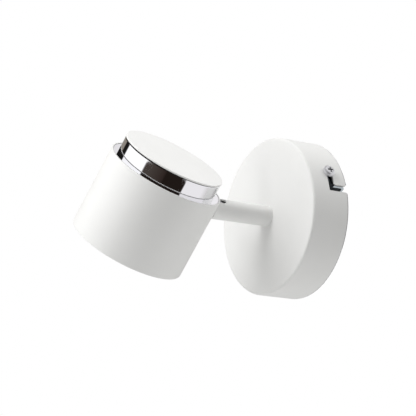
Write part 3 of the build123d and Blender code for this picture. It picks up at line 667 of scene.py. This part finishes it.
# Heights of the cards, as the sine of the angle above the ring's plane: low, high, soft edge's width
BESIDE_HEIGHTS = (-0.42, -0.1, 0.03)
ABOVE_HEIGHTS = (-0.09, 0.8, 0.02)
GAP_HEIGHTS = (0.242, 0.253, 0.001)
# Rounded corners of the dark card: where they start above and below, and how high they are
CORNERS_ABOVE = -0.2432
CORNERS_BELOW = -0.2487
CORNER_HEIGHT = 0.0018
LOW_CORNER, HIGH_CORNER = (170, 215), (255, 300)
LOW_CORNER_WIDTH, HIGH_CORNER_WIDTH = 8, 5


def round_share(angle):
    """Share of the turn round the head's axis at an angle in degrees."""
    return (angle - ROUND_START) / 360


class WorldNodes:
    """Short ways to add nodes to the world."""

    def __init__(self):
        world = bpy.data.worlds.new("studio")
        bpy.context.scene.world = world
        world.use_nodes = True
        self.tree = world.node_tree
        self.tree.nodes.clear()

    def node(self, kind, **settings):
        made = self.tree.nodes.new(kind)
        for name, value in settings.items():
            setattr(made, name, value)
        return made

    def plug(self, value, socket):
        if isinstance(value, (int, float)):
            socket.default_value = value
        else:
            self.tree.links.new(value, socket)

    def math(self, operation, *values):
        made = self.node("ShaderNodeMath", operation=operation)
        for index, value in enumerate(values):
            self.plug(value, made.inputs[index])
        return made.outputs[0]

    def dot(self, direction, axis):
        made = self.node("ShaderNodeVectorMath", operation="DOT_PRODUCT")
        self.plug(direction, made.inputs[0])
        made.inputs[1].default_value = axis
        return made.outputs["Value"]

    def step(self, value, low, high, rising=True):
        """Soft step between two values, from 0 to 1, or from 1 to 0 when it doesn't rise."""
        made = self.node("ShaderNodeMapRange", interpolation_type="SMOOTHSTEP")
        self.plug(value, made.inputs["Value"])
        made.inputs["From Min"].default_value = low
        made.inputs["From Max"].default_value = high
        made.inputs["To Min"].default_value = 0.0 if rising else 1.0
        made.inputs["To Max"].default_value = 1.0 if rising else 0.0
        return made.outputs["Result"]

    def window(self, value, low, high, soft):
        """1 between low and high, falling to 0 over the soft width outside them."""
        rising = self.step(value, low - soft, low)
        return self.math("MULTIPLY", rising, self.step(value, high, high + soft, False))

    def ramp(self, value, stops):
        """Colours along a value, with one stop after another."""
        made = self.node("ShaderNodeValToRGB")
        self.plug(value, made.inputs[0])
        elements = made.color_ramp.elements
        places = [round_share(angle) for angle, tone in stops]
        elements[0].position, elements[-1].position = places[0], places[-1]
        for place in places[1:-1]:
            elements.new(place)
        for element, (angle, tone) in zip(elements, stops):
            element.color = (*tone, 1)
        return made.outputs["Color"]

    def mix(self, factor, first, second):
        made = self.node("ShaderNodeMix", data_type="RGBA")
        self.plug(factor, made.inputs["Factor"])
        for value, socket in ((first, made.inputs["A"]), (second, made.inputs["B"])):
            if isinstance(value, tuple):
                socket.default_value = (*value, 1)
            else:
                self.tree.links.new(value, socket)
        return made.outputs["Result"]

    def light(self, strength, colour=(1, 1, 1), name="light"):
        made = self.node("ShaderNodeBackground", name=name)
        self.plug(strength, made.inputs["Strength"])
        if isinstance(colour, tuple):
            made.inputs["Color"].default_value = (*colour, 1)
        else:
            self.tree.links.new(colour, made.inputs["Color"])
        return made.outputs[0]

    def choose(self, factor, first, second):
        made = self.node("ShaderNodeMixShader")
        for value, socket in zip((factor, first, second), made.inputs):
            self.tree.links.new(value, socket)
        return made.outputs[0]


def soft_walls(w, direction):
    """Strength of the soft light that comes from a direction."""
    total = SOFT_EVEN
    for index, (axis, strength) in enumerate(SOFT_WALLS):
        facing = w.math("MAXIMUM", w.dot(direction, studio_direction(*axis)), 0.0)
        scaled = w.node("ShaderNodeMath", operation="MULTIPLY", name=f"wall_{index}")
        w.plug(w.math("POWER", facing, WALL_NARROWNESS), scaled.inputs[0])
        scaled.inputs[1].default_value = strength
        total = w.math("ADD", total, scaled.outputs[0])
    return total


def dark_card_corners(w, place, lift):
    """How far the places round the axis are pushed outwards near the dark card's rounded corners."""
    rise = w.math("MAXIMUM", w.math("DIVIDE", w.math("SUBTRACT", lift, CORNERS_ABOVE), CORNER_HEIGHT), 0.0)
    drop = w.math("MAXIMUM", w.math("DIVIDE", w.math("SUBTRACT", CORNERS_BELOW, lift), CORNER_HEIGHT), 0.0)
    squares = w.math("ADD", w.math("MULTIPLY", rise, rise), w.math("MULTIPLY", drop, drop))
    near_low = w.window(place, *map(round_share, LOW_CORNER), 0.01)
    near_high = w.window(place, *map(round_share, HIGH_CORNER), 0.01)
    ends = w.math("SUBTRACT", w.math("MULTIPLY", near_high, HIGH_CORNER_WIDTH / 360),
                  w.math("MULTIPLY", near_low, LOW_CORNER_WIDTH / 360))
    return w.math("MULTIPLY", w.math("MINIMUM", squares, 2.0), ends)


def mirrored_cards(w, direction):
    """Colour that polished metal mirrors from a direction."""
    across = w.dot(direction, -STUD_DIRECTION)
    side = w.dot(direction, STUD_DIRECTION.cross(HEAD_DIRECTION))
    lift = w.dot(direction, HEAD_DIRECTION)
    turns = w.math("DIVIDE", w.math("ARCTAN2", side, across), 2 * pi)
    place = w.math("FRACT", w.math("SUBTRACT", turns, ROUND_START / 360 - 1))
    round_place = w.math("ADD", place, dark_card_corners(w, place, lift))
    rest = w.mix(w.step(lift, -0.9, 0.9), FLOOR_TONE, CEILING_TONE)
    beside = w.mix(w.window(lift, *BESIDE_HEIGHTS), rest, w.ramp(round_place, CARDS_BESIDE))
    above = w.mix(w.window(lift, *ABOVE_HEIGHTS), beside, w.ramp(place, CARDS_ABOVE))
    return w.mix(w.window(lift, *GAP_HEIGHTS), above, w.ramp(place, CARDS_GAP))


def build_world():
    """White behind the object, soft walls that light it, and cards that polished metal mirrors."""
    w = WorldNodes()
    direction = w.node("ShaderNodeTexCoord").outputs["Generated"]
    rays = w.node("ShaderNodeLightPath").outputs
    soft = w.light(soft_walls(w, direction), SOFT_TINT, name="soft")
    cards = w.light(1.0, mirrored_cards(w, direction), name="cards")
    backdrop = w.light(1.0, name="backdrop")
    lit = w.choose(rays["Is Glossy Ray"], soft, cards)
    w.tree.links.new(w.choose(rays["Is Camera Ray"], lit, backdrop),
                     w.node("ShaderNodeOutputWorld").inputs["Surface"])


def make_floor():
    """Pale floor a metre below the light, which takes no part in lighting it."""
    mesh = bmesh.new()
    below = Matrix.Translation((0, 0, -FLOOR_DEPTH))
    bmesh.ops.create_grid(mesh, x_segments=2, y_segments=2, size=FLOOR_HALF_SIZE, matrix=below)
    floor = as_object("floor", mesh, Matrix.Identity(4))
    finish = Finish("pale_floor", (0.93, 0.93, 0.925), 0.7)
    clouds = finish.spread(finish.noise(3, 3.0), 0.0, 1.0)
    finish.colour(finish.blend(clouds, (0.92, 0.92, 0.915), (0.94, 0.94, 0.935)))
    finish.bump(finish.noise(400, 2.0), 0.02 * MM)
    floor.data.materials.append(finish.material)
    floor.visible_glossy = False
    floor.visible_diffuse = False
    floor.visible_shadow = False


def make_soft_boxes():
    """Square soft boxes a little way off, which give the light its soft shadows."""
    for index, (place, power) in enumerate(SOFT_BOXES):
        data = bpy.data.lights.new(f"soft_box_{index}", "AREA")
        data.shape = "SQUARE"
        data.size = BOX_SIZE
        data.energy = power
        box = bpy.data.objects.new(f"soft_box_{index}", data)
        aim = studio_direction(*place)
        box.location = PIVOT + aim * BOX_DISTANCE
        box.rotation_mode = "QUATERNION"
        box.rotation_quaternion = (-aim).to_track_quat("-Z", "Y")
        box.visible_glossy = False
        bpy.context.scene.collection.objects.link(box)


build_world()
make_floor()
make_soft_boxes()
bpy.context.scene.view_settings.view_transform = "Standard"
